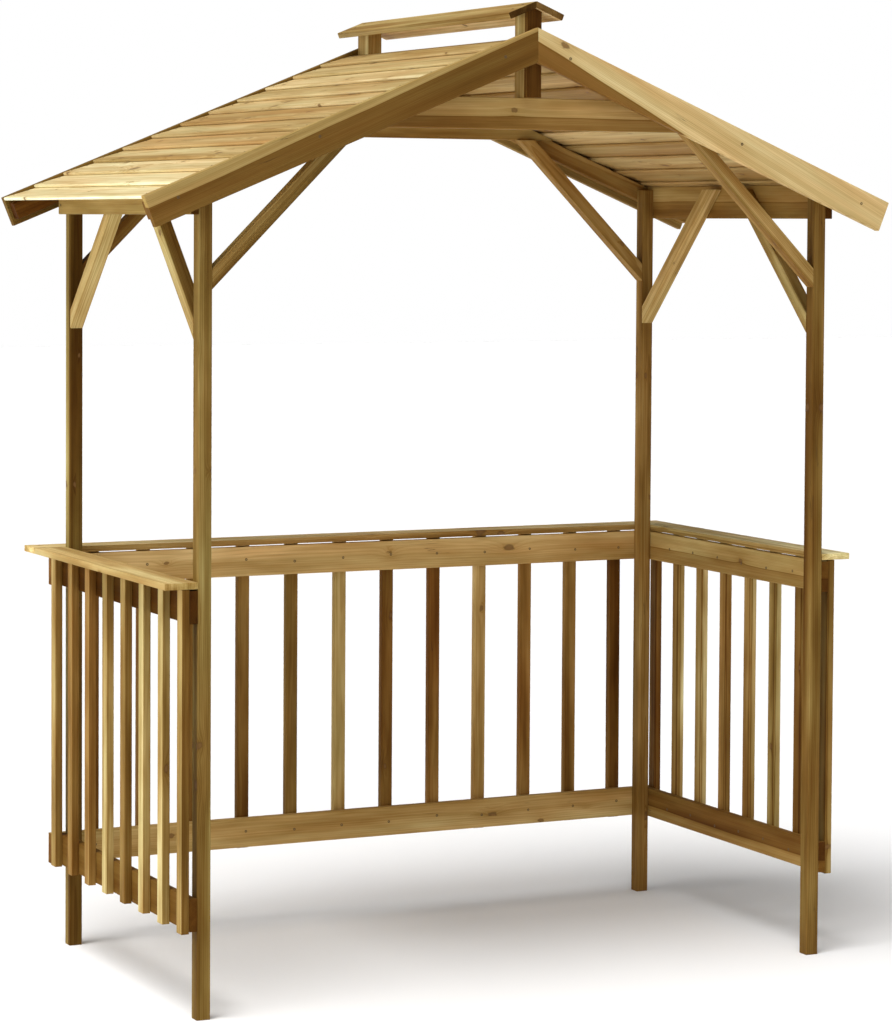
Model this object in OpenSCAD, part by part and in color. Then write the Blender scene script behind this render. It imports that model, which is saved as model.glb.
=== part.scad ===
// Open-sided barbecue shelter of planed, pressure-treated pine.
// Four posts carry two eave beams and two gable frames; a lapped-board roof
// in two slopes leaves a smoke slot along the ridge under a raised cap.
// Millimetres, +Z up, the open front faces -Y, standing on its post ends.

/* [Frame] */

// width over the outer faces of the posts
frame_w = 1760; // [1400:10:2200]
// depth over the outer faces of the posts
frame_d = 945; // [800:5:1400]
// side of a square post
post_s = 35; // [30:1:70]
// height of the posts, flush with the top of the eave beams
post_h = 2020; // [1900:10:2300]

/* [Boards] */

// thickness of the planed boards used as rails, beams, collars and barge boards
board_t = 20; // [16:1:30]
// width of the eave beams
beam_w = 80; // [60:1:120]
// width of the rails
rail_w = 80; // [60:1:110]
// height of the underside of the bottom rails
rail_low_z = 217; // [120:1:320]
// height of the underside of the top rails
rail_top_z = 960; // [860:5:1100]

/* [Balusters] */

// width of a baluster
bal_w = 34; // [25:1:50]
// thickness of a baluster
bal_t = 20; // [14:1:28]
// number of balusters on each side
bal_side_n = 8; // [5:1:12]
// number of balusters across the back
bal_back_n = 12; // [7:1:18]
// distance the balusters reach below the bottom rails
bal_drop = 4; // [0:1:30]
// distance the balusters reach above the top rails
bal_rise = 4; // [2:1:20]
// distance from the post's outer face to the first back baluster
bal_back_in = 68; // [20:1:110]

/* [Shelves] */

// width of a shelf board
shelf_w = 85; // [50:1:160]
// thickness of a shelf board
shelf_t = 16; // [12:1:28]

/* [Roof] */

// slope of the roof in degrees
pitch = 22.24; // [15:0.01:35]
// length of a barge board along its top edge
slope_len = 1124; // [1060:1:1400]
// width of a barge board
barge_w = 80; // [60:1:110]
// thickness of a rafter, front to back
rafter_t = 35; // [25:1:60]
// depth of a rafter, square to the slope
rafter_w = 45; // [35:1:70]
// distance the rafter ends stop short of the barge ends
rafter_in = 8; // [2:1:60]
// thickness of a roof board
lap_t = 9; // [6:1:14]
// number of roof boards on each slope
lap_n = 12; // [8:1:16]
// distance each roof board covers the one below it
lap_over = 9; // [5:1:25]
// distance from the top roof board to the roof's peak, along the slope
slot_half = 47; // [30:1:90]

/* [Gable frames] */

// distance from a post's outer face in to the lower corner of a collar tie
collar_in = 315; // [250:1:420]
// depth of a collar tie
collar_w = 79; // [60:1:90]
// width of a king post
king_w = 40; // [30:1:50]
// run of a gable brace along the collar, measured on its lower edge
gable_run = 396; // [310:1:480]
// run of a side brace along the eave beam, measured on its lower edge
side_run = 380; // [200:1:420]

/* [Ridge cap] */

// height of the cap's peak above the peak of the barge boards
cap_rise = 66; // [50:1:120]
// width of a cap board along its upper face
cap_w = 84; // [60:1:120]
// thickness of a cap board
cap_t = 16; // [10:1:22]
// distance the cap runs past the king posts at each end
cap_over = 10; // [0:1:60]

/* [Hidden] */

hw = frame_w / 2;
hd = frame_d / 2;
// the whole stands centred: the back shelf reaches further than the barge boards
frame_y = -(shelf_w - rafter_t - board_t) / 2;
// roof boards: exposure, and the depth of the lapped layer square to the slope
lap_e = (slope_len - slot_half - lap_over) / lap_n;
deck_t = lap_t * (2 + lap_over / lap_e);
// peak of the barge boards: the deck just rests on the eave beams' outer edges
peak_z = post_h + (hw + board_t) * tan(pitch) + deck_t / cos(pitch);
// a vertical or level cut through a post-sized brace at 45 degrees
brace_cut = post_s * sqrt(2);
rail_mid = rail_top_z + rail_w;
shelf_z = rail_mid + bal_rise;
bal_z = rail_low_z - bal_drop;
bal_h = shelf_z - bal_z;
bal_pitch = (frame_d - bal_w) / (bal_side_n - 1);
bal_back_pitch = (frame_w - 2 * bal_back_in - bal_w) / (bal_back_n - 1);
back_x = hw + board_t + bal_t;
gable_y = hd + rafter_t;
cap_z = peak_z + cap_rise;
// the collar ties' lower corners lie on the underside of the roof boards
collar_z = post_h + (board_t + collar_in) * tan(pitch);
// the king posts reach from the rafters' outer faces to the posts' inner faces
king_d = rafter_t + post_s;

// a box from its low corner and its size
module slab(p, s) { translate(p) cube(s); }

// an X-Z outline run along Y from y0 for len
module along_y(y0, len) { translate([0, y0 + len, 0]) rotate([90, 0, 0]) linear_extrude(len) children(); }

// a Y-Z outline run along X from x0 for len
module along_x(x0, len) { translate([x0, 0, 0]) rotate([90, 0, 90]) linear_extrude(len) children(); }

// a point of the left slope: s down from the peak, t square to the slope
function on_slope(s, t, z) = [-s * cos(pitch) - t * sin(pitch), z - s * sin(pitch) + t * cos(pitch)];
// how far down the slope a plumb cut at x from the middle meets depth t
function plumb(x, t) = (x - t * sin(pitch)) / cos(pitch);

module at_frame() { translate([0, frame_y, 0]) children(); }
module side(right) { mirror([right ? 1 : 0, 0, 0]) children(); }
module end(back) { mirror([0, back ? 1 : 0, 0]) children(); }

module post(right, back) {
    at_frame() side(right) end(back) slab([-hw, -hd, 0], [post_s, post_s, post_h]);
}

module eave_beam(right) {
    at_frame() side(right)
        slab([-hw - board_t, -hd, post_h - beam_w], [board_t, frame_d, beam_w]);
}

module side_rail(right, z) {
    at_frame() side(right) slab([-hw - board_t, -hd, z], [board_t, frame_d, rail_w]);
}

module back_rail(z) {
    at_frame() slab([-back_x, hd, z], [2 * back_x, board_t, rail_w]);
}

module side_balusters(right) {
    at_frame() side(right) for (i = [0 : bal_side_n - 1])
        slab([-back_x, -hd + i * bal_pitch, bal_z], [bal_t, bal_w, bal_h]);
}

module back_balusters() {
    at_frame() for (i = [0 : bal_back_n - 1])
        slab([-hw + bal_back_in + i * bal_back_pitch, hd + board_t, bal_z], [bal_w, bal_t, bal_h]);
}

module side_shelf(right) {
    at_frame() side(right) slab([-hw - shelf_w, -hd, shelf_z], [shelf_w, frame_d, shelf_t]);
}

module back_shelf() {
    at_frame() slab([-hw - shelf_w, hd, shelf_z], [2 * (hw + shelf_w), shelf_w, shelf_t]);
}

module barge(right, back) {
    at_frame() side(right) end(back) along_y(-gable_y - board_t, board_t) polygon([
        on_slope(0, 0, peak_z), on_slope(slope_len, 0, peak_z),
        on_slope(slope_len, -barge_w, peak_z),
        on_slope(plumb(0, -barge_w), -barge_w, peak_z)]);
}

module rafter(right, back) {
    low = -deck_t - rafter_w;
    at_frame() side(right) end(back) along_y(-gable_y, rafter_t) polygon([
        on_slope(plumb(king_w / 2, -deck_t), -deck_t, peak_z),
        on_slope(slope_len - rafter_in, -deck_t, peak_z),
        on_slope(slope_len - rafter_in, low, peak_z),
        on_slope(plumb(king_w / 2, low), low, peak_z)]);
}

// half the length of a collar's edge at height z, under the roof boards
function collar_half(z) = (peak_z - deck_t / cos(pitch) - z) / tan(pitch);

module collar(back) {
    top = collar_z + collar_w;
    at_frame() end(back) along_y(-hd, board_t) polygon([
        [-collar_half(collar_z), collar_z], [collar_half(collar_z), collar_z],
        [collar_half(top), top], [-collar_half(top), top]]);
}

module king(back) {
    foot = collar_z + collar_w;
    top = cap_z - cap_t / cos(pitch);
    at_frame() end(back) along_y(-gable_y, king_d) polygon([
        [-king_w / 2, foot], [king_w / 2, foot],
        [king_w / 2, top - king_w / 2 * tan(pitch)], [0, top],
        [-king_w / 2, top - king_w / 2 * tan(pitch)]]);
}

// from the inner face of a post up to the underside of the collar
module gable_brace(right, back) {
    x = -hw + post_s;
    at_frame() side(right) end(back) along_y(-hd, post_s) polygon([
        [x, collar_z - gable_run], [x + gable_run, collar_z],
        [x + gable_run - brace_cut, collar_z], [x, collar_z - gable_run + brace_cut]]);
}

// from the inner face of a post up the inside of the eave beam to its top
module side_brace(right, back) {
    y = -hd + post_s;
    at_frame() side(right) end(back) along_x(-hw, post_s) polygon([
        [y, post_h - side_run], [y + side_run, post_h],
        [y + side_run - brace_cut, post_h], [y, post_h - side_run + brace_cut]]);
}

// lapped boards: each board's top falls from its butt to under the next board
module roof(right) {
    function butt(i) = slope_len - i * lap_e;
    function head(i) = butt(i) - lap_e - lap_over;
    step = -lap_t * (1 + lap_over / lap_e);
    over = [for (i = [0 : lap_n - 1]) each [
        on_slope(butt(i), 0, peak_z),
        i < lap_n - 1 ? on_slope(butt(i + 1), -lap_t, peak_z) : on_slope(head(i), step, peak_z)]];
    under = [for (i = [lap_n - 1 : -1 : 0]) each [
        on_slope(head(i), -deck_t, peak_z),
        i > 0 ? on_slope(head(i - 1), step, peak_z) : on_slope(butt(0), -lap_t, peak_z)]];
    at_frame() side(right) along_y(-gable_y, 2 * gable_y) polygon(concat(over, under));
}

module cap(right) {
    at_frame() side(right) along_y(-gable_y - cap_over, 2 * (gable_y + cap_over)) polygon([
        on_slope(0, 0, cap_z), on_slope(cap_w, 0, cap_z),
        on_slope(cap_w, -cap_t, cap_z), on_slope(plumb(0, -cap_t), -cap_t, cap_z)]);
}

module post_front_left() color("burlywood") post(false, false);
module post_front_right() color("burlywood") post(true, false);
module post_back_left() color("burlywood") post(false, true);
module post_back_right() color("burlywood") post(true, true);
module eave_beam_left() color("tan") eave_beam(false);
module eave_beam_right() color("tan") eave_beam(true);
module top_rail_left() color("tan") side_rail(false, rail_top_z);
module top_rail_right() color("tan") side_rail(true, rail_top_z);
module top_rail_back() color("tan") back_rail(rail_top_z);
module bottom_rail_left() color("tan") side_rail(false, rail_low_z);
module bottom_rail_right() color("tan") side_rail(true, rail_low_z);
module bottom_rail_back() color("tan") back_rail(rail_low_z);
module balusters_left() color("wheat") side_balusters(false);
module balusters_right() color("wheat") side_balusters(true);
module balusters_back() color("wheat") back_balusters();
module shelf_left() color("moccasin") side_shelf(false);
module shelf_right() color("moccasin") side_shelf(true);
module shelf_back() color("moccasin") back_shelf();
module barge_front_left() color("peru") barge(false, false);
module barge_front_right() color("peru") barge(true, false);
module barge_back_left() color("peru") barge(false, true);
module barge_back_right() color("peru") barge(true, true);
module rafter_front_left() color("tan") rafter(false, false);
module rafter_front_right() color("tan") rafter(true, false);
module rafter_back_left() color("tan") rafter(false, true);
module rafter_back_right() color("tan") rafter(true, true);
module collar_front() color("tan") collar(false);
module collar_back() color("tan") collar(true);
module king_front() color("burlywood") king(false);
module king_back() color("burlywood") king(true);
module gable_brace_front_left() color("burlywood") gable_brace(false, false);
module gable_brace_front_right() color("burlywood") gable_brace(true, false);
module gable_brace_back_left() color("burlywood") gable_brace(false, true);
module gable_brace_back_right() color("burlywood") gable_brace(true, true);
module side_brace_front_left() color("burlywood") side_brace(false, false);
module side_brace_front_right() color("burlywood") side_brace(true, false);
module side_brace_back_left() color("burlywood") side_brace(false, true);
module side_brace_back_right() color("burlywood") side_brace(true, true);
module roof_left() color("khaki") roof(false);
module roof_right() color("khaki") roof(true);
module cap_left() color("sandybrown") cap(false);
module cap_right() color("sandybrown") cap(true);

post_front_left();
post_front_right();
post_back_left();
post_back_right();
eave_beam_left();
eave_beam_right();
top_rail_left();
top_rail_right();
top_rail_back();
bottom_rail_left();
bottom_rail_right();
bottom_rail_back();
balusters_left();
balusters_right();
balusters_back();
shelf_left();
shelf_right();
shelf_back();
barge_front_left();
barge_front_right();
barge_back_left();
barge_back_right();
rafter_front_left();
rafter_front_right();
rafter_back_left();
rafter_back_right();
collar_front();
collar_back();
king_front();
king_back();
gable_brace_front_left();
gable_brace_front_right();
gable_brace_back_left();
gable_brace_back_right();
side_brace_front_left();
side_brace_front_right();
side_brace_back_left();
side_brace_back_right();
roof_left();
roof_right();
cap_left();
cap_right();
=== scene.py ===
import collections
import math
import random

import bmesh
import bpy
from mathutils import Matrix, Vector


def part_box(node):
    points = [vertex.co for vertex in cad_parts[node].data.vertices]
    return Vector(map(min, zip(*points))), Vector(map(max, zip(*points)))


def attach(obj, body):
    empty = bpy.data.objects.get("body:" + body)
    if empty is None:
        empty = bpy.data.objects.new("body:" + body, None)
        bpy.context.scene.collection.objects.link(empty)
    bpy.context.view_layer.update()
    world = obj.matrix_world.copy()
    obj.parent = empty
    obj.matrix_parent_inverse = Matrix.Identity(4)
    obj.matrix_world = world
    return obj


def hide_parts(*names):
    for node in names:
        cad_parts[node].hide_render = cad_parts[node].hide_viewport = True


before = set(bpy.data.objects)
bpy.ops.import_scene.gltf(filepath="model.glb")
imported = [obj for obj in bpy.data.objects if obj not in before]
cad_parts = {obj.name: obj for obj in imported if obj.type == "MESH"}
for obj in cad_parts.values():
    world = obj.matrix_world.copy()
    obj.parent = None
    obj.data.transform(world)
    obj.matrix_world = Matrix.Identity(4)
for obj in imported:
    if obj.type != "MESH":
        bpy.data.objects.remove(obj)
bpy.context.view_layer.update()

# ---- Camera, floor and studio light -----------------------------------------
# The shelter is seen from its front left, a little under roof height, through
# a long lens. It stands on a pale floor under an overhead light, with a softbox
# at its left and a little light from the front.

camera = bpy.data.objects.new("camera", bpy.data.cameras.new("camera"))
bpy.context.scene.collection.objects.link(camera)
bpy.context.scene.camera = camera
camera.data.lens = 116.07
camera.data.shift_y = -0.1387
camera.data.clip_end = 200
camera_place = (-3.806, -7.819, 1.924)
camera_turn = math.radians(26.048)
camera_tilt = math.radians(-2.554)
camera_roll = math.radians(0.344)
camera.matrix_world = (
    Matrix.Translation(camera_place)
    @ Matrix.Rotation(-camera_turn, 4, "Z")
    @ Matrix.Rotation(math.pi / 2 + camera_tilt, 4, "X")
    @ Matrix.Rotation(camera_roll, 4, "Z")
)
bpy.context.scene.view_settings.view_transform = "Standard"


def linked(name, data):
    """A new object in the scene."""
    made = bpy.data.objects.new(name, data)
    bpy.context.scene.collection.objects.link(made)
    return made


def new_material(name):
    """A node material with nothing in it yet."""
    material = bpy.data.materials.new(name)
    material.use_nodes = True
    material.node_tree.nodes.clear()
    return material


def add(tree, kind, inputs=None, **settings):
    """Adds a node. An input is either a value or the socket that feeds it."""
    made = tree.nodes.new(kind)
    for key, value in settings.items():
        setattr(made, key, value)
    for key, value in (inputs or {}).items():
        if isinstance(value, bpy.types.NodeSocket):
            tree.links.new(value, made.inputs[key])
        else:
            made.inputs[key].default_value = value
    return made


reach = 40.0
floor_mesh = bpy.data.meshes.new("floor")
floor_mesh.from_pydata(
    [(-reach, -reach, 0), (reach, -reach, 0), (reach, reach, 0), (-reach, reach, 0)], [], [(0, 1, 2, 3)])
floor = linked("floor", floor_mesh)
paint = new_material("pale_floor")
matt = add(paint.node_tree, "ShaderNodeBsdfPrincipled", {
    "Base Color": (0.95, 0.955, 0.965, 1), "Roughness": 1.0, "Specular IOR Level": 0.0})
add(paint.node_tree, "ShaderNodeOutputMaterial", {"Surface": matt.outputs[0]})
floor_mesh.materials.append(paint)

world = bpy.data.worlds.new("studio")
bpy.context.scene.world = world
world.use_nodes = True
world.node_tree.nodes.clear()
seen = add(world.node_tree, "ShaderNodeLightPath")
backdrop = add(world.node_tree, "ShaderNodeBackground", {"Color": (1, 1, 1, 1), "Strength": 1.0})
ambient = add(world.node_tree, "ShaderNodeBackground", {"Color": (1, 1, 1, 1), "Strength": 0.25})
either = add(world.node_tree, "ShaderNodeMixShader", {
    0: seen.outputs["Is Camera Ray"], 1: ambient.outputs[0], 2: backdrop.outputs[0]})
add(world.node_tree, "ShaderNodeOutputWorld", {"Surface": either.outputs[0]})


def hang(lamp, place):
    """Hangs a lamp at a place and turns it to the middle of the shelter."""
    hung = linked(lamp.name, lamp)
    hung.location = place
    aim = Vector((0, 0, 1.3)) - Vector(place)
    hung.rotation_euler = aim.to_track_quat("-Z", "Y").to_euler()


overhead = bpy.data.lights.new("overhead", "SUN")
overhead.energy = 2.5
overhead.angle = math.radians(30)
overhead.color = (1.0, 0.985, 0.965)
hang(overhead, (-2.6, -1.2, 9.0))
softbox = bpy.data.lights.new("softbox", "AREA")
softbox.size = 2.8
softbox.energy = 58
softbox.color = (1.0, 0.985, 0.95)
hang(softbox, (-4.3, -0.4, 2.0))
front_fill = bpy.data.lights.new("front_fill", "SUN")
front_fill.energy = 0.5
front_fill.angle = math.radians(40)
hang(front_fill, (-2.0, -7.0, 7.3))

# ---- Posts ------------------------------------------------------------------
# Four square posts carry everything. Like all the timber they are planed,
# pressure-treated pine: growth rings round a pith beside the board, pale
# sapwood, brown heartwood, small knots and fine drying cracks.


def pine_group():
    """Colour, roughness and height of pine, from the grain, log and tones of each board."""
    group = bpy.data.node_groups.new("pine", "ShaderNodeTree")
    face = group.interface
    for name, kind, value in (
        ("Sapwood", "NodeSocketColor", (0.57, 0.375, 0.145, 1)),
        ("Streaks", "NodeSocketFloat", 1.0),
        ("Rings", "NodeSocketFloat", 1.0),
        ("Knots", "NodeSocketFloat", 0.2),
        ("Patches", "NodeSocketFloat", 1.0),
        ("Ends", "NodeSocketColor", (0.20, 0.14, 0.07, 1)),
    ):
        face.new_socket(name, in_out="INPUT", socket_type=kind).default_value = value
    face.new_socket("Color", in_out="OUTPUT", socket_type="NodeSocketColor")
    face.new_socket("Roughness", in_out="OUTPUT", socket_type="NodeSocketFloat")
    face.new_socket("Height", in_out="OUTPUT", socket_type="NodeSocketFloat")
    given = group.nodes.new("NodeGroupInput").outputs

    def maths(operation, *values, clamp=False):
        inputs = dict(enumerate(values))
        return add(group, "ShaderNodeMath", inputs, operation=operation, use_clamp=clamp).outputs[0]

    def times(*values):
        product = values[0]
        for value in values[1:]:
            product = maths("MULTIPLY", product, value)
        return product

    def varied(value, contrast):
        """A factor round one, from a noise round a half."""
        return maths("MULTIPLY_ADD", maths("SUBTRACT", value, 0.5), contrast, 1.0)

    def ramp(value, low, high, out_low=0.0, out_high=1.0):
        return add(group, "ShaderNodeMapRange", {
            0: value, 1: low, 2: high, 3: out_low, 4: out_high}, interpolation_type="SMOOTHSTEP").outputs[0]

    def vector(x, y, z):
        return add(group, "ShaderNodeCombineXYZ", {0: x, 1: y, 2: z}).outputs[0]

    def noise(along, across, detail=2.0):
        """Noise with so many waves to the metre along the grain and across it."""
        place = vector(times(x, along), times(y, across), times(z, across))
        waves = add(group, "ShaderNodeTexNoise", {"Vector": place, "Scale": 1.0, "Detail": detail})
        return waves.outputs["Fac"]

    def mix(share, one, two, blend="MIX"):
        made = add(group, "ShaderNodeMix", data_type="RGBA", blend_type=blend)
        for socket, value in zip((made.inputs[0], made.inputs[6], made.inputs[7]), (share, one, two)):
            if isinstance(value, bpy.types.NodeSocket):
                group.links.new(value, socket)
            else:
                socket.default_value = value
        return made.outputs[2]

    def board(name, output="Vector"):
        return add(group, "ShaderNodeAttribute", attribute_name=name).outputs[output]

    along, y, z = add(group, "ShaderNodeSeparateXYZ", {0: board("grain")}).outputs
    heart, seed, hue = add(group, "ShaderNodeSeparateXYZ", {0: board("log")}).outputs
    tone, painted_light_tone, heart_tone = add(group, "ShaderNodeSeparateXYZ", {0: board("tones")}).outputs
    ends = board("end_grain", "Fac")
    fronts = board("front_face", "Fac")
    own_x, own_y, own_z = add(group, "ShaderNodeSeparateXYZ", {0: board("knot")}).outputs
    own_size = board("knot_size", "Fac")
    metres_to_a_seed = 7.31
    x = maths("MULTIPLY_ADD", seed, metres_to_a_seed, along)

    # knots: stretched spots at some places along and round the log, and one of the board's own
    cells_along = 3.1
    cells_round = 2.3
    turn_to_a_seed = 3.7
    stretch = 1.9
    unevenness = 0.009
    smallest_knot = 0.0028
    knot_range = 0.006
    plain = maths("SQRT", maths("ADD", times(y, y), times(z, z)))
    spot_x = times(x, cells_along)
    spot_a = maths("MULTIPLY_ADD", maths("ARCTAN2", z, y), cells_round, times(seed, turn_to_a_seed))
    cells = add(group, "ShaderNodeTexVoronoi", {
        "Vector": vector(spot_x, spot_a, 0.0), "Scale": 1.0}, voronoi_dimensions="2D")
    at_x, at_a, _ = add(group, "ShaderNodeSeparateXYZ", {0: cells.outputs["Position"]}).outputs
    pick, size, _ = add(group, "ShaderNodeSeparateColor", {0: cells.outputs["Color"]}).outputs
    run = maths("DIVIDE", maths("SUBTRACT", spot_x, at_x), cells_along * stretch)
    swing = times(maths("DIVIDE", maths("SUBTRACT", spot_a, at_a), cells_round), plain)
    away = maths("SQRT", maths("ADD", times(run, run), times(swing, swing)))
    wobble = times(maths("SUBTRACT", noise(60, 110), 0.5), unevenness)
    absent = maths("GREATER_THAN", pick, given["Knots"])
    size = maths("MULTIPLY_ADD", times(size, size), knot_range, smallest_knot)
    near = maths("MULTIPLY_ADD", absent, 50.0, maths("DIVIDE", maths("ADD", away, wobble), size))
    own_run = maths("DIVIDE", maths("SUBTRACT", along, own_x), stretch)
    sides = [maths("SUBTRACT", one, other) for one, other in ((y, own_y), (z, own_z))]
    own_away = maths("SQRT", maths("ADD", times(own_run, own_run), maths(
        "ADD", times(sides[0], sides[0]), times(sides[1], sides[1]))))
    own_near = maths("DIVIDE", maths("ADD", own_away, wobble), maths("MAXIMUM", own_size, 0.0001))
    radius = maths("MAXIMUM", size, own_size)
    near = maths("MINIMUM", near, own_near)
    knot = ramp(near, 1.2, 0.6)
    halo = maths("EXPONENT", times(near, -0.5))

    # distance from the pith, bent by slow waves and by the swelling round knots
    slow_wave = 0.016
    quick_wave = 0.003
    bent = maths("MULTIPLY_ADD", maths("SUBTRACT", noise(1.3, 8), 0.5), slow_wave, plain)
    bent = maths("MULTIPLY_ADD", maths("SUBTRACT", noise(6, 45), 0.5), quick_wave, bent)
    bent = maths("MULTIPLY_ADD", times(halo, radius), -1.6, bent)

    # yearly rings: a wide pale band, then a narrow dark one, in good and poor years
    ring_width = 0.0042
    years = add(group, "ShaderNodeTexNoise", {"Vector": vector(0.0, 0.0, times(bent, 95)), "Scale": 1.0})
    year = maths("MULTIPLY_ADD", years.outputs["Fac"], 2.2, maths("DIVIDE", bent, ring_width))
    year = maths("FRACT", year)
    late = times(ramp(year, 0.35, 0.88), ramp(year, 1.0, 0.93))
    streak = add(group, "ShaderNodeTexNoise", {
        "Vector": vector(times(x, 0.45), seed, times(bent, 70)), "Scale": 1.0, "Detail": 3.0}).outputs["Fac"]
    fibre = noise(9, 420)

    # brown heartwood, with a thin dark line where it ends
    depth = maths("SUBTRACT", heart, bent)
    hearty = ramp(depth, -0.0008, 0.0008)
    rim = times(ramp(maths("ABSOLUTE", depth), 0.0026, 0.0004), ramp(heart, 0.0, 0.004))

    # the tone of the wood; where it is darker it is browner, as its green and blue fall faster
    green_fall = 1.35
    blue_fall = 2.0
    shade = times(tone, varied(ramp(streak, 0.32, 0.70), times(given["Streaks"], 0.26)),
                  varied(noise(1.1, 200, 3.0), 0.34), varied(fibre, 0.25),
                  varied(noise(0.8, 14), times(given["Patches"], 1.5)),
                  varied(noise(4.5, 30), times(given["Patches"], 0.8)))
    # painted light and shade: the fronts take the board's front tone
    shade = times(shade, maths("MULTIPLY_ADD", maths("SUBTRACT", painted_light_tone, 1.0), fronts, 1.0))
    shade = times(shade, maths("MULTIPLY_ADD", maths("SUBTRACT", heart_tone, 1.0), hearty, 1.0))
    shade = times(shade, maths("MULTIPLY_ADD", rim, -0.35, 1.0))
    shade = times(shade, maths("MULTIPLY_ADD", times(late, given["Rings"]), -0.22, 1.0))
    deep = add(group, "ShaderNodeCombineColor", {
        0: shade, 1: maths("POWER", shade, green_fall), 2: maths("POWER", shade, blue_fall)}).outputs[0]
    colour = mix(1.0, given["Sapwood"], deep, "MULTIPLY")

    # some boards and patches are rosy, others green from the treatment
    hue = maths("ADD", hue, times(maths("SUBTRACT", noise(2.4, 22), 0.5), 1.8))
    green = maths("MULTIPLY_ADD", hue, 0.4, 0.2, clamp=True)
    rosy_tint = (1.07, 0.87, 0.73, 1)
    green_tint = (0.92, 1.24, 1.38, 1)
    colour = mix(1.0, colour, mix(green, rosy_tint, green_tint), "MULTIPLY")

    # the wood round a knot is stained, and the knot has a dark rim
    stain = (0.68, 0.54, 0.34, 1)
    knot_middle = (0.20, 0.10, 0.035, 1)
    knot_rim = (0.09, 0.045, 0.018, 1)
    colour = mix(times(halo, 0.7), colour, mix(1.0, colour, stain, "MULTIPLY"))
    colour = mix(times(knot, 0.75), colour, mix(ramp(near, 0.35, 0.95), knot_middle, knot_rim))

    # drying cracks run along the fibres, only in some stretches
    crack_shadow = (0.05, 0.028, 0.012, 1)
    crack = times(ramp(maths("ABSOLUTE", maths("SUBTRACT", noise(2.1, 60), 0.5)), 0.010, 0.002),
                  ramp(noise(2.6, 12), 0.63, 0.69))
    colour = mix(times(crack, 0.55), colour, crack_shadow)
    colour = mix(ends, colour, mix(1.0, colour, given["Ends"], "MULTIPLY"))

    rough = maths("MULTIPLY_ADD", fibre, 0.14, 0.56)
    rough = maths("MULTIPLY_ADD", late, -0.07, rough)
    rough = maths("MULTIPLY_ADD", knot, -0.12, rough)
    height = maths("MULTIPLY_ADD", late, 0.25, times(fibre, 0.35))
    height = maths("MULTIPLY_ADD", crack, -1.6, height)
    height = maths("MULTIPLY_ADD", knot, 0.4, height)
    result = group.nodes.new("NodeGroupOutput").inputs
    for socket, value in zip(result, (colour, rough, height)):
        group.links.new(value, socket)
    return group


pine = pine_group()


def pine_material(name, sapwood, **pattern):
    """One finish of the timber: its own colour in the shared pine pattern."""
    material = new_material(name)
    tree = material.node_tree
    wood = add(tree, "ShaderNodeGroup", {"Sapwood": (*sapwood, 1), **pattern}, node_tree=pine)
    bump = add(tree, "ShaderNodeBump", {
        "Strength": 0.7, "Distance": 0.0006, "Height": wood.outputs["Height"]})
    surface = add(tree, "ShaderNodeBsdfPrincipled", {
        "Base Color": wood.outputs["Color"], "Roughness": wood.outputs["Roughness"],
        "Normal": bump.outputs[0], "Specular IOR Level": 0.05})
    add(tree, "ShaderNodeOutputMaterial", {"Surface": surface.outputs[0]})
    return material


def eased(shape, along, radius):
    """Rounds a timber's long edges, takes the sharpness off its sawn ends, and returns its mesh."""
    def runs(edge):
        way = (edge.verts[1].co - edge.verts[0].co).normalized()
        return abs(way.dot(along)) > 0.99

    def sharp(edge):
        return len(edge.link_faces) == 2 and edge.calc_face_angle(0.0) > 0.5

    long_edges = [edge for edge in shape.edges if sharp(edge) and runs(edge)]
    bmesh.ops.bevel(shape, geom=long_edges, offset=radius, segments=3, profile=0.5, affect="EDGES")
    cut_edges = [edge for edge in shape.edges if sharp(edge) and not runs(edge)]
    bmesh.ops.bevel(shape, geom=cut_edges, offset=radius * 0.25, segments=1, profile=0.5, affect="EDGES")
    mesh = bpy.data.meshes.new("timber")
    shape.to_mesh(mesh)
    shape.free()
    return mesh


def in_log(place, along, centre, pith, lean=(0, 0, 0)):
    """Where a place on a board lay in its log: along the grain, and across it from the pith."""
    side = along.orthogonal().normalized()
    offset = Vector(place) - Vector(centre)
    run = offset.dot(along)
    across = offset - Vector(pith) - Vector(lean) * run
    return run, across.dot(side), across.dot(along.cross(side))


def lay_grain(mesh, along, centre, pith, lean=(0, 0, 0), front=Vector((0, 1, 0))):
    """Writes where each point lay in its log, which faces are sawn ends, and which are fronts, whose painted
    light or shade comes from the board's front tone.
    """
    grain = mesh.attributes.new("grain", "FLOAT_VECTOR", "POINT")
    for vertex in mesh.vertices:
        grain.data[vertex.index].vector = in_log(vertex.co, along, centre, pith, lean)
    ends = mesh.attributes.new("end_grain", "FLOAT", "FACE")
    fronts = mesh.attributes.new("front_face", "FLOAT", "FACE")
    for face in mesh.polygons:
        ends.data[face.index].value = float(abs(face.normal.dot(along)) > 0.7)
        fronts.data[face.index].value = float(abs(face.normal.dot(front)) > 0.7)


# One board: which part of the wood's pattern it shows, its tone, its hue from
# rosy to green, the tones of its fronts and of its heart as shares of its own,
# the radius of the heart, and the place in the log and radius of one knot.
# The tone of its fronts is painted light above one and painted shade below one.
# The boards of a row lie a step apart in the pattern.
Board = collections.namedtuple(
    "Board", "seed tone hue front heart heart_tone knot knot_size",
    defaults=(1.0, 0.5, 1.0, 0.0, 0.45, (0, 0, 0), 0.0))
seed_step = 1.7


def mark(mesh, boards):
    """Writes each point's board."""
    kinds = {"log": "FLOAT_VECTOR", "tones": "FLOAT_VECTOR", "knot": "FLOAT_VECTOR", "knot_size": "FLOAT"}
    for name, kind in kinds.items():
        mesh.attributes.new(name, kind, "POINT")
    log, tones, knots, knot_sizes = [mesh.attributes[name].data for name in kinds]
    for i, board in enumerate(boards):
        log[i].vector = (board.heart, board.seed, board.hue)
        tones[i].vector = (board.tone, board.front, board.heart_tone)
        knots[i].vector = board.knot
        knot_sizes[i].value = board.knot_size


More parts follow.
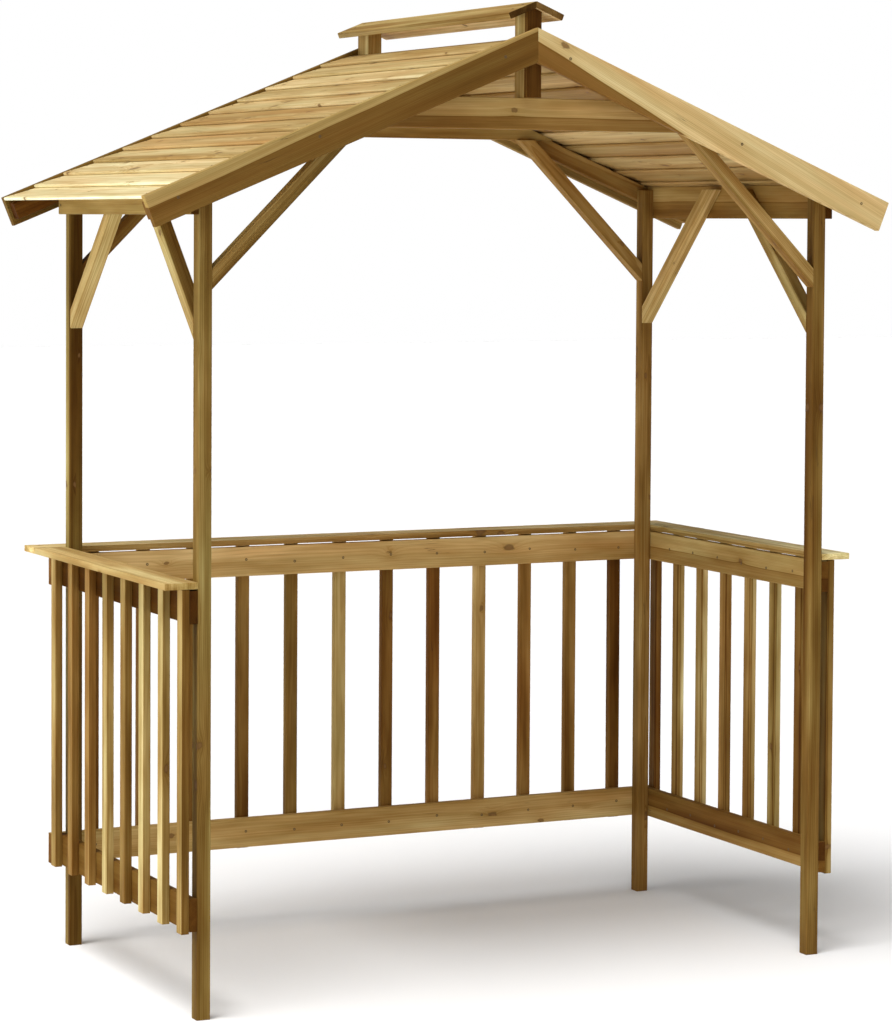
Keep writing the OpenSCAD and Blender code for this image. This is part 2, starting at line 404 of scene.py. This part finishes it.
def stand_in(piece, node):
    """Puts a finished piece in the place of one CAD node."""
    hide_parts(node)
    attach(piece, "root")


# how far from a timber's middle the pith of its log lies, unless it is given
pith_distance = (0.035, 0.11)


def timber(node, material, slot, pith=None, lean=(0, 0, 0), radius=0.0022, cut=0, knot=None,
           painted_light_axis=(0, 1, 0), reach_up=None, **look):
    """Rebuilds a CAD timber with eased edges and gives it its place in a log.

    Another cut shows another part of the wood. Where reach_up is given, it says how high the
    timber's top reaches at each distance from the middle of the shelter.
    """
    shape = bmesh.new()
    shape.from_mesh(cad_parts[node].data)
    bmesh.ops.remove_doubles(shape, verts=shape.verts, dist=1e-5)
    bmesh.ops.dissolve_limit(shape, angle_limit=math.radians(0.2), verts=shape.verts, edges=shape.edges)
    longest = max(shape.edges, key=lambda edge: round(edge.calc_length(), 5))
    along = (longest.verts[1].co - longest.verts[0].co).normalized()
    # every timber's grain runs rightwards, backwards or up, whichever way its edges run
    if along.dot(Vector((1, 1.1, 1.2))) < 0:
        along = -along
    low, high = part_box(node)
    for vertex in shape.verts:
        if reach_up and vertex.co.z > high.z - 0.0001:
            vertex.co.z = reach_up(abs(vertex.co.x))
    chance = random.Random(f"{node}{cut}" if cut else node)
    if pith is None:
        bearing = chance.uniform(0, math.tau)
        side = along.orthogonal().normalized()
        pith = side * math.cos(bearing) + along.cross(side) * math.sin(bearing)
        pith *= chance.uniform(*pith_distance)
    mesh = eased(shape, along, radius)
    centre = (low + high) / 2
    lay_grain(mesh, along, centre, pith, lean, Vector(painted_light_axis))
    if knot:
        look["knot"] = in_log(knot, along, centre, pith, lean)
    mark(mesh, [Board(chance.uniform(1, 40), **look)] * len(mesh.vertices))
    mesh.materials.append(material)
    stand_in(linked(node + "_timber", mesh), node)


frame_wood = pine_material(
    "frame_timber", (0.57, 0.375, 0.145), Streaks=1.3, Patches=1.4, Ends=(0.75, 0.68, 0.50, 1))
# the front tones above one are painted light on the posts' front and back faces, the one below one is painted
# shade
timber("post_front_left", frame_wood, "frame_timber", tone=0.42, hue=1.6, front=1.13,
       knot=(-0.88, -0.478, 0.57), knot_size=0.008)
timber("post_front_right", frame_wood, "frame_timber", tone=0.41, hue=1.2, front=1.10)
timber("post_back_left", frame_wood, "frame_timber", tone=0.55, hue=1.8, front=0.93, pith=(0, -0.03, 0),
       heart=0.026)
timber("post_back_right", frame_wood, "frame_timber", tone=0.42, hue=0.8, front=1.08)

# ---- Eave beams and rails ---------------------------------------------------
# Planed boards screwed to the outer faces of the posts. Several show the line
# where brown heartwood meets pale sapwood.

rail_wood = pine_material(
    "rail_wood", (0.57, 0.375, 0.145), Streaks=0.7, Rings=0.45, Ends=(0.38, 0.26, 0.12, 1))
rail_round = 0.0011
# where the pith lies: under a board, or over it
UNDER = (0, 0, -0.15)
OVER = (0, 0, 0.15)
beam_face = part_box("eave_beam_right")[1]
outer_reach = 0.0042
underside_slope = 0.295


def under_boards(x):
    """The height of an eave beam's sloped top, which meets the undersides of the roof boards."""
    return beam_face.z + outer_reach + underside_slope * (beam_face.x - x)


timber("eave_beam_left", rail_wood, "rail_wood", tone=0.67, hue=1.25, reach_up=under_boards)
timber("eave_beam_right", rail_wood, "rail_wood", tone=0.70, hue=0.9, pith=UNDER, heart=0.156,
       heart_tone=0.66, reach_up=under_boards)
# its very dark tone is painted shade under the shelf; its front tone gives its ends back a lighter tone
timber("top_rail_left", rail_wood, "rail_wood", tone=0.16, hue=1.1, front=1.8, radius=rail_round)
# its front tone is painted shade on its ends
timber("top_rail_right", rail_wood, "rail_wood", tone=0.80, hue=0.9, pith=UNDER, heart=0.145,
       heart_tone=0.80, front=0.75, radius=rail_round, knot=(0.88, -0.0763, 1.0042), knot_size=0.005)
timber("top_rail_back", rail_wood, "rail_wood", tone=0.92, hue=0.35, radius=rail_round,
       knot=(0.4425, 0.4575, 1.008), knot_size=0.009)
# its dark tone is painted shade between the slats; its front tone gives its ends back a lighter tone
timber("bottom_rail_left", rail_wood, "rail_wood", tone=0.27, hue=1.1, front=1.7, radius=rail_round)
timber("bottom_rail_right", rail_wood, "rail_wood", tone=0.69, hue=0.85, pith=OVER, heart=0.160,
       heart_tone=0.55, radius=rail_round)
timber("bottom_rail_back", rail_wood, "rail_wood", tone=0.83, hue=0.55, radius=rail_round,
       knot=(0.548, 0.4575, 0.2227), knot_size=0.006)

# ---- Balusters --------------------------------------------------------------
# Planed slats on the outside of the rails, each held by one screw at each
# rail. They are sawn from many boards, so no two have the same tone.


def row_tree():
    """Puts a copy of a board at each point, a little askew, and moves its grain in the log."""
    tree = bpy.data.node_groups.new("row_of_boards", "GeometryNodeTree")
    face = tree.interface
    face.new_socket("Geometry", in_out="INPUT", socket_type="NodeSocketGeometry")
    for name, kind in (("Board", "Object"), ("Seed", "Int"), ("Log spread", "Vector"), ("Play", "Vector"),
                       ("Turn", "Vector"), ("Material", "Material")):
        face.new_socket(name, in_out="INPUT", socket_type="NodeSocket" + kind)
    face.new_socket("Geometry", in_out="OUTPUT", socket_type="NodeSocketGeometry")
    given = tree.nodes.new("NodeGroupInput").outputs

    def vectors(operation, one, two):
        return add(tree, "ShaderNodeVectorMath", {0: one, 1: two}, operation=operation).outputs[0]

    def chance(step, kind):
        """A value between minus one and one for each board, or a vector of them."""
        seed = add(tree, "ShaderNodeMath", {0: given["Seed"], 1: step}, operation="ADD").outputs[0]
        made = add(tree, "FunctionNodeRandomValue", data_type=kind)
        low, high = (0, 1) if kind == "FLOAT_VECTOR" else (2, 3)
        made.inputs[low].default_value = (-1, -1, -1) if kind == "FLOAT_VECTOR" else -1
        made.inputs[high].default_value = (1, 1, 1) if kind == "FLOAT_VECTOR" else 1
        tree.links.new(seed, made.inputs["Seed"])
        return made.outputs[0 if kind == "FLOAT_VECTOR" else 1]

    def keep(geometry, name, value, domain):
        return add(tree, "GeometryNodeStoreNamedAttribute", {
            "Geometry": geometry, "Name": name, "Value": value},
            data_type="FLOAT_VECTOR", domain=domain).outputs[0]

    def read(name):
        return add(tree, "GeometryNodeInputNamedAttribute", {"Name": name},
                   data_type="FLOAT_VECTOR").outputs[0]

    board = add(tree, "GeometryNodeObjectInfo", {"Object": given["Board"]}).outputs["Geometry"]
    play = vectors("MULTIPLY", chance(1, "FLOAT_VECTOR"), given["Play"])
    moved = add(tree, "GeometryNodeSetPosition", {"Geometry": given["Geometry"], "Offset": play}).outputs[0]
    turn = vectors("MULTIPLY", chance(2, "FLOAT"), given["Turn"])
    copies = add(tree, "GeometryNodeInstanceOnPoints", {
        "Points": moved, "Instance": board, "Rotation": turn}).outputs[0]
    shift = vectors("MULTIPLY", chance(3, "FLOAT_VECTOR"), given["Log spread"])
    copies = keep(copies, "shift", shift, "INSTANCE")
    solid = add(tree, "GeometryNodeRealizeInstances", {"Geometry": copies}).outputs[0]
    for name in ("grain", "knot"):
        solid = keep(solid, name, vectors("ADD", read(name), read("shift")), "POINT")
    solid = add(tree, "GeometryNodeRemoveAttribute", {"Geometry": solid, "Name": "shift"}).outputs[0]
    solid = add(tree, "GeometryNodeSetMaterial", {
        "Geometry": solid, "Material": given["Material"]}).outputs[0]
    end = tree.nodes.new("NodeGroupOutput")
    tree.links.new(solid, end.inputs[0])
    return tree


def grown_by(tree, piece, values):
    """Runs a tree on a piece with the values given by name, and keeps the result as a plain mesh."""
    modifier = piece.modifiers.new(tree.name, "NODES")
    modifier.node_group = tree
    for socket in tree.interface.items_tree:
        if socket.name in values:
            modifier[socket.identifier] = values[socket.name]
    view = bpy.context.evaluated_depsgraph_get()
    mesh = bpy.data.meshes.new_from_object(
        piece.evaluated_get(view), preserve_all_data_layers=True, depsgraph=view)
    piece.modifiers.clear()
    piece.data = mesh


rows = row_tree()


def row(node, board_mesh, places, boards, values):
    """A row of like boards in the place of one CAD node."""
    points = bpy.data.meshes.new(node)
    points.from_pydata(places, [], [])
    mark(points, boards)
    piece = linked(node + "_boards", points)
    board = linked("one_board", board_mesh)
    grown_by(rows, piece, {"Board": board, **values})
    bpy.data.objects.remove(board)
    stand_in(piece, node)


def block(size):
    """A new mesh in the making, of one block round the origin."""
    shape = bmesh.new()
    bmesh.ops.create_cube(shape, size=1.0)
    for vertex in shape.verts:
        vertex.co *= Vector(size)
    return shape


baluster_wood = pine_material(
    "baluster_wood", (0.57, 0.375, 0.145), Streaks=0.8, Rings=0.7, Knots=0.07, Patches=1.5)
slat_width = 0.034
slat_round = 0.002
slat_lean = 0.0016
# the tone, the hue and the tone of the fronts of each slat, from the front or from the left;
# the tone of the fronts is painted shade on the left slats, and painted light on the right
# ones but for the last, where it is painted shade
slat_looks = {
    "left": ((0.67, 1.2, 0.38), (1.05, 1.2, 0.58), (0.97, 1.0, 0.62), (0.50, 1.1, 0.70),
             (1.18, 1.1, 0.54), (0.75, 0.6, 0.64), (0.46, 0.7, 0.63), (0.78, 1.0, 0.56)),
    "right": ((0.42, 1.2, 1.35), (0.32, 0.8, 1.40), (0.50, 1.5, 1.55), (0.58, 0.8, 1.45),
              (0.52, 0.6, 1.10), (0.70, 0.8, 1.80), (0.54, 0.9, 2.10), (0.57, 0.4, 0.70)),
    "back": ((0.60, 0.5, 1.0), (0.42, 0.5, 1.0), (0.38, 0.8, 1.0), (0.34, 0.8, 1.0),
             (0.48, 1.1, 1.0), (0.60, 1.1, 1.0), (0.355, 0.7, 1.0), (0.46, 0.2, 1.0),
             (0.84, 0.5, 1.0), (0.73, 0.5, 1.0), (0.82, 0.5, 1.0), (0.28, 0.5, 1.0)),
}
# where the pith lies beside a slat, and the radius of its heart
slat_hearts = {
    "left": ((0.02, -0.05, 0), 0.0),
    "right": ((-0.012, -0.019, 0), 0.008),
    "back": ((0.01, -0.05, 0), 0.0),
}
# one slat with a knot in each row: its number, and the knot's place on it
slat_knots = {
    "left": (1, (0.0, -0.017, -0.034)), "right": (2, (-0.008, 0.0, -0.12)), "back": (6, (0.01, -0.008, 0.2))}
slat_knot_size = 0.006
# where in the wood's pattern the first slat of each row lies
slat_seeds = {"left": 24, "right": 4, "back": 3}
# the seed of each row's play
play_seeds = {"left": 4, "right": 4, "back": 3}


def slat_spacing(side):
    """The axis that a row of slats runs along, and how far apart its slats stand."""
    run = 0 if side == "back" else 1
    low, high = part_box(f"balusters_{side}")
    return run, (high[run] - low[run] - slat_width) / (len(slat_looks[side]) - 1)


for side, looks in slat_looks.items():
    pith, heart = slat_hearts[side]
    low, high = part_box(f"balusters_{side}")
    run, spacing = slat_spacing(side)
    lean_axis = Vector((0, 1, 0)) if side == "back" else Vector((1, 0, 0))
    size = high - low
    size[run] = slat_width
    up = Vector((0, 0, 1))
    middle = Vector((0, 0, 0))
    mesh = eased(block(size), up, slat_round)
    lay_grain(mesh, up, middle, pith)
    places = []
    for i in range(len(looks)):
        place = low + size / 2
        place[run] += i * spacing
        places.append(place)
    boards = [Board(slat_seeds[side] + seed_step * i, tone, hue, front, heart, heart_tone=0.6)
              for i, (tone, hue, front) in enumerate(looks)]
    knotty, spot = slat_knots[side]
    spot = in_log(spot, up, middle, pith)
    boards[knotty] = boards[knotty]._replace(knot=spot, knot_size=slat_knot_size)
    row(f"balusters_{side}", mesh, places, boards, {
        "Seed": play_seeds[side], "Log spread": (3.0, 0.003, 0.003), "Play": (0.0003, 0.0003, 0.001),
        "Turn": lean_axis * slat_lean, "Material": baluster_wood})

# ---- Shelves ----------------------------------------------------------------
# Flat boards on top of the balusters: the two side shelves butt against the
# long back one.

shelf_wood = pine_material("shelf_wood", (0.57, 0.385, 0.155), Streaks=1.5, Ends=(0.9, 0.85, 0.7, 1))
timber("shelf_left", shelf_wood, "shelf_wood", tone=0.90, hue=0.8, radius=rail_round)
# its high tone is painted light on its top under the roof; its front tone brings its faces square to x back
# down
timber("shelf_right", shelf_wood, "shelf_wood", tone=1.45, hue=1.0, painted_light_axis=(1, 0, 0), front=0.55,
       radius=rail_round)
# its front tone is painted shade on its front and back edges
timber("shelf_back", shelf_wood, "shelf_wood", tone=1.35, hue=0.6, front=0.43, radius=rail_round,
       knot=(0.4136, 0.4575, 1.0486), knot_size=0.007)

# ---- Gable frames -----------------------------------------------------------
# At each end two rafters lean on a king post, which stands on a collar tie
# and rises through the smoke slot to carry the ridge cap.

timber("rafter_front_left", frame_wood, "frame_timber", tone=0.50)
timber("rafter_front_right", frame_wood, "frame_timber", tone=0.52)
# its very dark tone is painted shade
timber("rafter_back_left", frame_wood, "frame_timber", tone=0.16)
timber("rafter_back_right", frame_wood, "frame_timber", tone=0.52, hue=0.6)
timber("collar_front", rail_wood, "rail_wood", tone=0.86, hue=0.6, pith=UNDER, heart=0.1415,
       heart_tone=0.60, knot=(-0.037, -0.4875, 2.206), knot_size=0.006)
timber("collar_back", rail_wood, "rail_wood", tone=0.61, hue=1.0)
# its front tone is painted shade on its front and back faces, and the dark heart set at its front is painted
# shade on its front face
timber("king_front", frame_wood, "frame_timber", tone=1.22, hue=1.0, front=0.51, pith=(0, -0.05, 0),
       heart=0.035, heart_tone=0.28)
# its front tone is painted shade on its front and back faces
timber("king_back", frame_wood, "frame_timber", tone=0.88, hue=1.0, front=0.60)

# ---- Braces -----------------------------------------------------------------
# Short timbers cut at 45 degrees stiffen the posts both ways: along the
# gables and along the eave beams.

# the tone and hue of each brace, the tone of its front, which is painted shade where it is below one, and
# which cut of wood it is
brace_looks = {
    "gable_brace_front_left": (0.68, 1.3, 1.0, 1),
    "gable_brace_front_right": (0.64, 0.7, 1.0, 1),
    "gable_brace_back_left": (0.37, 1.2, 1.0, 1),
    "gable_brace_back_right": (0.455, 0.7, 1.0, 1),
    "side_brace_front_left": (0.79, 1.25, 0.55, 1),
    "side_brace_front_right": (0.845, 1.1, 0.65, 1),
    "side_brace_back_left": (0.79, 0.9, 1.0, 2),
    "side_brace_back_right": (0.80, 0.8, 1.0, 1),
}
for node, (tone, hue, front, cut) in brace_looks.items():
    timber(node, frame_wood, "frame_timber", tone=tone, hue=hue, front=front, cut=cut)

# ---- Roof boards ------------------------------------------------------------
# Thin boards lapped like clapboard, from the eaves up to the smoke slot. Each
# one's foot lies on the board below it. They are the palest timber.

roof_wood = pine_material(
    "roof_wood", (0.68, 0.525, 0.27), Streaks=0.8, Rings=0.8, Knots=0.35, Patches=0.55)
board_round = 0.0037
roof_board_turn = 0.0015
# painted light: the boards' feet and heads, which face down and up the slope, get a lighter tone
foot_painted_light = 1.35
rosy = 0.3
# the tone of each board, from the eave up
roof_tones = {
    "left": (1.10, 1.05, 1.01, 0.75, 0.79, 0.76, 0.73, 0.85, 0.76, 0.94, 0.74, 0.66),
    "right": (0.60, 0.50, 0.60, 0.65, 0.56, 0.83, 0.67, 0.77, 0.45, 0.66, 0.67, 0.57),
}
# the hue of each slope's boards, and which of them are rosy instead
roof_hues = {"left": 0.6, "right": 0.4}
rosy_boards = {"left": (4, 6), "right": ()}
# one board with a knot on each slope: its number, and the knot's place and radius
roof_knots = {"left": (2, (-0.857, 0.005, 2.0515), 0.014), "right": (3, (0.756, 0.139, 2.0858), 0.009)}
# the first board's place in the wood's pattern, and the seed of the boards' play
roof_seeds = {"left": 10, "right": 12}
pitch = math.radians(22.24)
lap_cover = 0.009
board_thick = 0.009
slot_half = 0.047
end_clearance = 0.0006
pith_depth = 0.07
barge_low, barge_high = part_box("barge_front_left")
peak = barge_high.z
slope_length = (barge_high.x - barge_low.x) / math.cos(pitch)
board_count = len(roof_tones["left"])
exposure = (slope_length - slot_half - lap_cover) / board_count


def slope_ways(sign):
    """The ways down a slope and square out of it. The left slope's sign is -1, the right one's 1."""
    down = Vector((sign * math.cos(pitch), 0, -math.sin(pitch)))
    out = Vector((sign * math.sin(pitch), 0, math.cos(pitch)))
    return down, out


for side, sign in (("left", -1), ("right", 1)):
    low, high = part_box(f"roof_{side}")
    down, out = slope_ways(sign)
    rise = board_thick * lap_cover / exposure
    section = [(0, 0), (-exposure - lap_cover, -board_thick - rise),
               (-exposure - lap_cover, -2 * board_thick - rise), (0, -board_thick)]
    half = (high.y - low.y) / 2 - end_clearance
    shape = bmesh.new()
    front, back = [[shape.verts.new(down * s + out * t + Vector((0, y, 0))) for s, t in section]
                   for y in (-half, half)]
    shape.faces.new(front)
    shape.faces.new(back)
    for i in range(len(section)):
        shape.faces.new((front[i], front[i - 1], back[i - 1], back[i]))
    bmesh.ops.recalc_face_normals(shape, faces=shape.faces)
    level = Vector((0, 1, 0))
    mesh = eased(shape, level, board_round)
    middle = down * -exposure / 2
    pith = out * -pith_depth
    lay_grain(mesh, level, middle, pith, front=down)
    foot = Vector((0, (low.y + high.y) / 2, peak)) + down * slope_length
    places = [foot - down * (exposure * i) for i in range(board_count)]
    boards = []
    for i, tone in enumerate(roof_tones[side]):
        hue = rosy if i in rosy_boards[side] else roof_hues[side]
        boards.append(Board(roof_seeds[side] + seed_step * i, tone, hue, front=foot_painted_light))
    knotty, spot, knot_radius = roof_knots[side]
    spot = in_log(Vector(spot) - places[knotty], level, middle, pith)
    boards[knotty] = boards[knotty]._replace(knot=spot, knot_size=knot_radius)
    row(f"roof_{side}", mesh, places, boards, {
        "Seed": roof_seeds[side], "Log spread": (3.0, 0.03, 0.03), "Play": (0.0, 0.0004, 0.0),
        "Turn": out * roof_board_turn, "Material": roof_wood})

# ---- Barge boards -----------------------------------------------------------
# The boards over the gable ends, mitred plumb at the peak. Both front ones
# have brown heartwood along their lower side.

barge_wood = pine_material(
    "barge_wood", (0.57, 0.385, 0.155), Streaks=0.4, Rings=0.6, Knots=0.08, Patches=0.45,
    Ends=(1.0, 1.0, 0.85, 1))
left_out = slope_ways(-1)[1]
right_out = slope_ways(1)[1]
timber("barge_front_left", barge_wood, "barge_wood", tone=0.74, hue=0.95, pith=left_out * -0.15,
       heart=0.163, heart_tone=0.44, lean=left_out * 0.022)
timber("barge_front_right", barge_wood, "barge_wood", tone=1.27, hue=0.45, pith=right_out * -0.15,
       heart=0.0974, heart_tone=0.36, lean=right_out * -0.094,
       knot=(0.0761, -0.5425, 2.366), knot_size=0.007)
# its dark tone is painted shade
timber("barge_back_left", barge_wood, "barge_wood", tone=0.34, hue=1.6)
timber("barge_back_right", barge_wood, "barge_wood", tone=0.57, hue=0.9)

# ---- Ridge cap --------------------------------------------------------------
# Two boards over the smoke slot, mitred along the ridge and held up by the
# king posts.

cap_wood = pine_material("cap_wood", (0.57, 0.37, 0.15), Streaks=1.5)
timber("cap_left", cap_wood, "cap_wood", tone=0.80, hue=1.2)
timber("cap_right", cap_wood, "cap_wood", tone=1.60, hue=0.4)

# ---- Screws and nails -------------------------------------------------------
# Countersunk screws of dull yellow zinc hold the slats, the eave beams, the
# barge boards and the cap. Small nails hold the roof boards at both ends.


def head_mesh(name, radius, sides, rings):
    """A turned head from rings of (share of the radius, height), closed in the middle and at its rim."""
    shape = bmesh.new()
    loops = []
    for share, height in rings:
        angles = [math.tau * i / sides for i in range(sides)]
        loops.append([shape.verts.new((radius * share * math.cos(a), radius * share * math.sin(a), height))
                      for a in angles])
    for outer, inner in zip(loops, loops[1:]):
        for i in range(sides):
            shape.faces.new((outer[i - 1], outer[i], inner[i], inner[i - 1]))
    shape.faces.new(loops[-1])
    shape.faces.new(loops[0][::-1])
    mesh = bpy.data.meshes.new(name)
    shape.to_mesh(mesh)
    shape.free()
    return mesh


def fixing_tree():
    """Sets a head at each point, turned to that point's facing and spun at random."""
    tree = bpy.data.node_groups.new("fixings", "GeometryNodeTree")
    face = tree.interface
    face.new_socket("Geometry", in_out="INPUT", socket_type="NodeSocketGeometry")
    for name, kind in (("Head", "Object"), ("Seed", "Int"), ("Size spread", "Float"),
                       ("Material", "Material")):
        face.new_socket(name, in_out="INPUT", socket_type="NodeSocket" + kind)
    face.new_socket("Geometry", in_out="OUTPUT", socket_type="NodeSocketGeometry")
    given = tree.nodes.new("NodeGroupInput").outputs

    def chance(low, high):
        made = add(tree, "FunctionNodeRandomValue", {2: low, 3: high}, data_type="FLOAT")
        tree.links.new(given["Seed"], made.inputs["Seed"])
        return made.outputs[1]

    head = add(tree, "GeometryNodeObjectInfo", {"Object": given["Head"]}).outputs["Geometry"]
    facing = add(tree, "GeometryNodeInputNamedAttribute", {"Name": "facing"},
                 data_type="FLOAT_VECTOR").outputs[0]
    turned = add(tree, "FunctionNodeAlignRotationToVector", {"Vector": facing}, axis="Z").outputs[0]
    smallest = add(tree, "ShaderNodeMath", {0: 1.0, 1: given["Size spread"]}, operation="SUBTRACT").outputs[0]
    copies = add(tree, "GeometryNodeInstanceOnPoints", {
        "Points": given["Geometry"], "Instance": head, "Rotation": turned,
        "Scale": chance(smallest, 1.0)}).outputs[0]
    spin = add(tree, "ShaderNodeCombineXYZ", {2: chance(0.0, math.tau)}).outputs[0]
    spun = add(tree, "GeometryNodeRotateInstances", {"Instances": copies, "Rotation": spin}).outputs[0]
    solid = add(tree, "GeometryNodeRealizeInstances", {"Geometry": spun}).outputs[0]
    solid = add(tree, "GeometryNodeRemoveAttribute", {"Geometry": solid, "Name": "facing"}).outputs[0]
    solid = add(tree, "GeometryNodeSetMaterial", {
        "Geometry": solid, "Material": given["Material"]}).outputs[0]
    end = tree.nodes.new("NodeGroupOutput")
    tree.links.new(solid, end.inputs[0])
    return tree


def steel_material(name, colour):
    """Dull plated steel: darker in patches, where its plating has gone grey."""
    material = new_material(name)
    tree = material.node_tree
    place = add(tree, "ShaderNodeTexCoord").outputs["Object"]
    patch = add(tree, "ShaderNodeTexNoise", {"Vector": place, "Scale": 350.0, "Detail": 2.0}).outputs["Fac"]
    tint = add(tree, "ShaderNodeMix", data_type="RGBA")
    tree.links.new(patch, tint.inputs[0])
    tint.inputs[6].default_value = (*(0.55 * part for part in colour), 1)
    tint.inputs[7].default_value = (*colour, 1)
    rough = add(tree, "ShaderNodeMapRange", {0: patch, 3: 0.45, 4: 0.7}).outputs[0]
    surface = add(tree, "ShaderNodeBsdfPrincipled", {
        "Base Color": tint.outputs[2], "Roughness": rough, "Metallic": 0.7})
    add(tree, "ShaderNodeOutputMaterial", {"Surface": surface.outputs[0]})
    return material


fixings = fixing_tree()


def fix(name, head, spots, material, seed):
    """Sets one kind of head at each spot, a (place, facing) pair, as one piece."""
    points = bpy.data.meshes.new(name)
    points.from_pydata([place for place, _ in spots], [], [])
    facing = points.attributes.new("facing", "FLOAT_VECTOR", "POINT")
    for i, (_, way) in enumerate(spots):
        facing.data[i].vector = way
    piece = linked(name, points)
    one_head = linked("one_head", head)
    grown_by(fixings, piece, {"Head": one_head, "Seed": seed, "Size spread": 0.12, "Material": material})
    bpy.data.objects.remove(one_head)
    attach(piece, "root")


screw_steel = steel_material("screw_steel", (0.17, 0.115, 0.055))
screw_radius = 0.0040
screw_head = head_mesh("screw_head", screw_radius, 12, (
    (1.0, -0.0006), (0.98, 0.0003), (0.42, 0.0005), (0.36, -0.0005)))
nail_head = head_mesh("nail_head", 0.0024, 8, ((1.0, -0.0004), (0.97, 0.0005), (0.5, 0.0007)))

# how far a screw may sit from its proper place, along its rail and across it,
# and a nail along its roof board and across it
screw_slip = (0.003, 0.006)
nail_slip = (0.006, 0.004)

slat_screws = []
for side, looks in slat_looks.items():
    run, spacing = slat_spacing(side)
    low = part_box(f"balusters_{side}")[0]
    chance = random.Random(side + "_screws")
    for rail in (f"top_rail_{side}", f"bottom_rail_{side}"):
        rail_low, rail_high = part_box(rail)
        for i in range(len(looks)):
            place = (rail_low + rail_high) / 2
            slip = chance.uniform(-screw_slip[0], screw_slip[0])
            place[run] = low[run] + slat_width / 2 + i * spacing + slip
            place.z += chance.uniform(-screw_slip[1], screw_slip[1])
            inward = Vector((0, -1, 0)) if side == "back" else Vector((1 if side == "left" else -1, 0, 0))
            across = 1 - run
            place[across] = rail_low[across] if inward[across] < 0 else rail_high[across]
            slat_screws.append((place, inward))
fix("slat_screws", screw_head, slat_screws, screw_steel, seed=1)

beam_screws = []
for side, out in (("left", Vector((-1, 0, 0))), ("right", Vector((1, 0, 0)))):
    low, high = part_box(f"eave_beam_{side}")
    face = low.x if side == "left" else high.x
    for end in ("front", "back"):
        post_low, post_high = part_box(f"post_{end}_{side}")
        for share in (0.3, 0.7):
            beam_screws.append((
                Vector((face, (post_low.y + post_high.y) / 2, low.z + share * (high.z - low.z))), out))
fix("beam_screws", screw_head, beam_screws, screw_steel, seed=2)

barge_screws = []
under_edge = 0.035
for end, way in (("front", -1), ("back", 1)):
    for side, sign in (("left", -1), ("right", 1)):
        low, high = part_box(f"barge_{end}_{side}")
        down, out = slope_ways(sign)
        top = Vector((0, low.y if way < 0 else high.y, peak))
        for share in (0.10, 0.58, 0.93):
            place = top + down * (slope_length * share) - out * under_edge
            barge_screws.append((place, Vector((0, way, 0))))
fix("barge_screws", screw_head, barge_screws, screw_steel, seed=3)

cap_screws = []
for side, sign in (("left", -1), ("right", 1)):
    low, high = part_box(f"cap_{side}")
    down, out = slope_ways(sign)
    for end in ("front", "back"):
        king_low, king_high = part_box(f"king_{end}")
        ridge = Vector((0, (king_low.y + king_high.y) / 2, high.z))
        for share in (0.22, 0.62):
            cap_screws.append((ridge + down * share * (high.x - low.x), out))
fix("cap_screws", screw_head, cap_screws, screw_steel, seed=4)

roof_nails = []
for side, sign in (("left", -1), ("right", 1)):
    down, out = slope_ways(sign)
    chance = random.Random(side + "_nails")
    rise = board_thick * (1 + lap_cover / exposure) / (exposure + lap_cover)
    facing = (out - down * rise).normalized()
    for end in ("front", "back"):
        rafter_low, rafter_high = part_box(f"rafter_{end}_{side}")
        for i in range(board_count):
            for up_slope in (0.022, 0.066):
                run = exposure * i + up_slope + chance.uniform(-nail_slip[1], nail_slip[1])
                slip = chance.uniform(-nail_slip[0], nail_slip[0])
                place = Vector((0, (rafter_low.y + rafter_high.y) / 2 + slip, peak))
                place += down * (slope_length - run) - out * rise * (run - exposure * i)
                roof_nails.append((place, facing))
fix("roof_nails", nail_head, roof_nails, screw_steel, seed=5)
